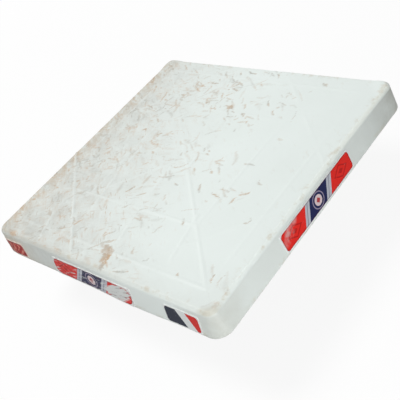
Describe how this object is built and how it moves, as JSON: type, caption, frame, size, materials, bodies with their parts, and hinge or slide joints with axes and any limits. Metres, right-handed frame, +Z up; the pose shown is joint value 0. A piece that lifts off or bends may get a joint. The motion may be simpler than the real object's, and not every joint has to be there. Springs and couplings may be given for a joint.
{
  "type": "baseball base",
  "caption": "Square white rubber baseball base with leaning sides and printed side strips, on a steel frame with a square post that drops into a sleeve in the ground.",
  "frame": {"origin": "middle of the underside, level with the ground, on the post's centre line", "axes": "+Z up, out of the top; -Y towards the front side, which carries three labels; +X towards the right-hand side"},
  "size_m": [0.3818, 0.3821, 0.1372],
  "materials": {
    "white_rubber": "moulded white rubber, satin, scuffed and stained with infield dirt",
    "black_rubber": "moulded black rubber, matte",
    "galvanised_steel": "hot-dip galvanised sheet steel, dull spangle",
    "zinc_plated_steel": "bright zinc-plated steel fasteners",
    "printed_vinyl": "printed vinyl in red, dark blue, silver and white, satin, worn",
    "dark_vinyl": "printed vinyl in dark blue, white and red, satin"
  },
  "bodies": {
    "root": {"cover": "white_rubber", "frame_rail_front": "galvanised_steel", "frame_rail_right": "galvanised_steel", "frame_rail_rear": "galvanised_steel", "frame_rail_left": "galvanised_steel", "frame_arm_rear_right": "galvanised_steel", "frame_arm_rear_left": "galvanised_steel", "frame_arm_front_left": "galvanised_steel", "frame_arm_front_right": "galvanised_steel", "corner_gusset_rear_right": "galvanised_steel", "corner_gusset_rear_left": "galvanised_steel", "corner_gusset_front_left": "galvanised_steel", "corner_gusset_front_right": "galvanised_steel", "centre_plate": "galvanised_steel", "stanchion_plate": "galvanised_steel", "stanchion_post": "galvanised_steel", "stanchion_bolt_front": "zinc_plated_steel", "stanchion_bolt_right": "zinc_plated_steel", "stanchion_bolt_rear": "zinc_plated_steel", "stanchion_bolt_left": "zinc_plated_steel", "stanchion_flat_washer_front": "zinc_plated_steel", "stanchion_flat_washer_right": "zinc_plated_steel", "stanchion_flat_washer_rear": "zinc_plated_steel", "stanchion_flat_washer_left": "zinc_plated_steel", "stanchion_lock_washer_front": "zinc_plated_steel", "stanchion_lock_washer_right": "zinc_plated_steel", "stanchion_lock_washer_rear": "zinc_plated_steel", "stanchion_lock_washer_left": "zinc_plated_steel", "stanchion_nut_front": "zinc_plated_steel", "stanchion_nut_right": "zinc_plated_steel", "stanchion_nut_rear": "zinc_plated_steel", "stanchion_nut_left": "zinc_plated_steel", "support_pad_front": "black_rubber", "support_pad_right": "black_rubber", "support_pad_rear": "black_rubber", "support_pad_left": "black_rubber", "side_strip_front": "printed_vinyl", "side_strip_right": "printed_vinyl", "side_strip_rear": "printed_vinyl", "side_strip_left": "printed_vinyl", "corner_label": "printed_vinyl", "end_label": "dark_vinyl"}
  },
  "joints": []
}
